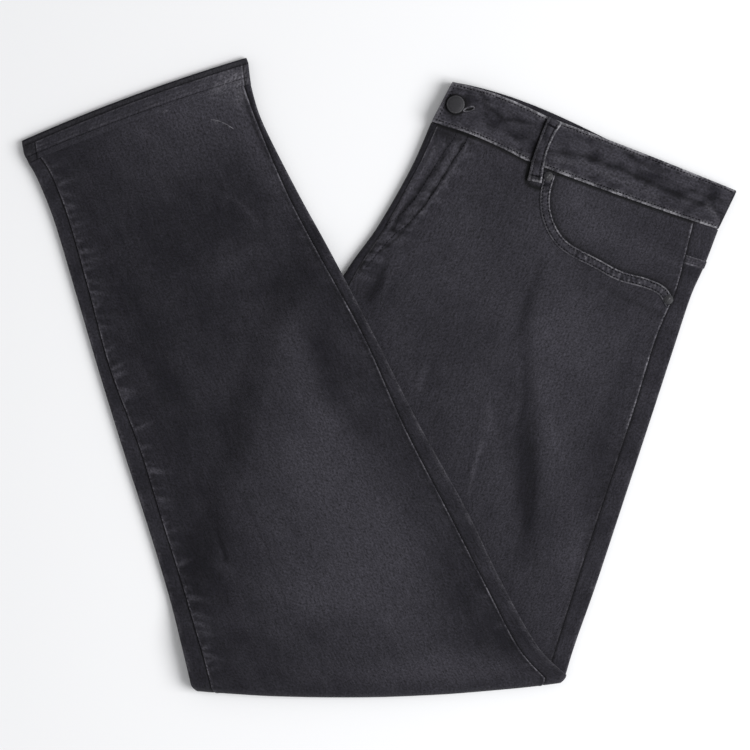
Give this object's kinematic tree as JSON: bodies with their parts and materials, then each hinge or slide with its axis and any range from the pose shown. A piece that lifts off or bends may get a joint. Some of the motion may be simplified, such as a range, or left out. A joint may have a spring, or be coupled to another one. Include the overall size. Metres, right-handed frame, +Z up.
{
  "type": "folded slim fit jeans",
  "caption": "Charcoal slim fit denim jeans folded flat in half and once across the thigh, with waistband, button, front pocket, fly, yoke, belt loop and turned hems",
  "frame": {"origin": "Middle of the bounding box in X and Y, on the plane that the folded garment rests on", "axes": "+Z up from the surface it rests on; +X to the right and +Y away from the fold towards the waist, as seen from above with the hems at the upper left and the waist at the upper right"},
  "size_m": [0.642, 0.5742, 0.0168],
  "materials": {
    "belt_loop": "washed charcoal black denim, matte twill",
    "hidden_layers": "unwashed inside of charcoal denim, matte",
    "left_back_panel_side": "washed charcoal black denim, matte twill",
    "left_front_panel": "washed charcoal black denim, matte twill",
    "left_hem": "washed charcoal black denim, matte twill",
    "left_pocket_band": "washed charcoal black denim, matte twill",
    "left_pocket_facing": "washed charcoal black denim, matte twill",
    "left_yoke": "washed charcoal black denim, matte twill",
    "pocket_rivet_lower": "dark nickel, satin",
    "pocket_rivet_upper": "dark nickel, satin",
    "right_back_panel_inseam": "washed charcoal black denim, matte twill",
    "right_back_panel_side": "washed charcoal black denim, matte twill",
    "right_fly_edge": "washed charcoal black denim, matte twill",
    "right_front_panel": "washed charcoal black denim, matte twill",
    "right_hem": "washed charcoal black denim, matte twill",
    "right_yoke": "washed charcoal black denim, matte twill",
    "waist_button": "dark nickel, satin",
    "waistband": "washed charcoal black denim, matte twill"
  },
  "bodies": {
    "root": {"belt_loop": "belt_loop", "hidden_layers": "hidden_layers", "left_back_panel_side": "left_back_panel_side", "left_front_panel": "left_front_panel", "left_hem": "left_hem", "left_pocket_band": "left_pocket_band", "left_pocket_facing": "left_pocket_facing", "left_yoke": "left_yoke", "pocket_rivet_lower": "pocket_rivet_lower", "pocket_rivet_upper": "pocket_rivet_upper", "right_back_panel_inseam": "right_back_panel_inseam", "right_back_panel_side": "right_back_panel_side", "right_fly_edge": "right_fly_edge", "right_front_panel": "right_front_panel", "right_hem": "right_hem", "right_yoke": "right_yoke", "waist_button": "waist_button", "waistband": "waistband"}
  },
  "joints": []
}
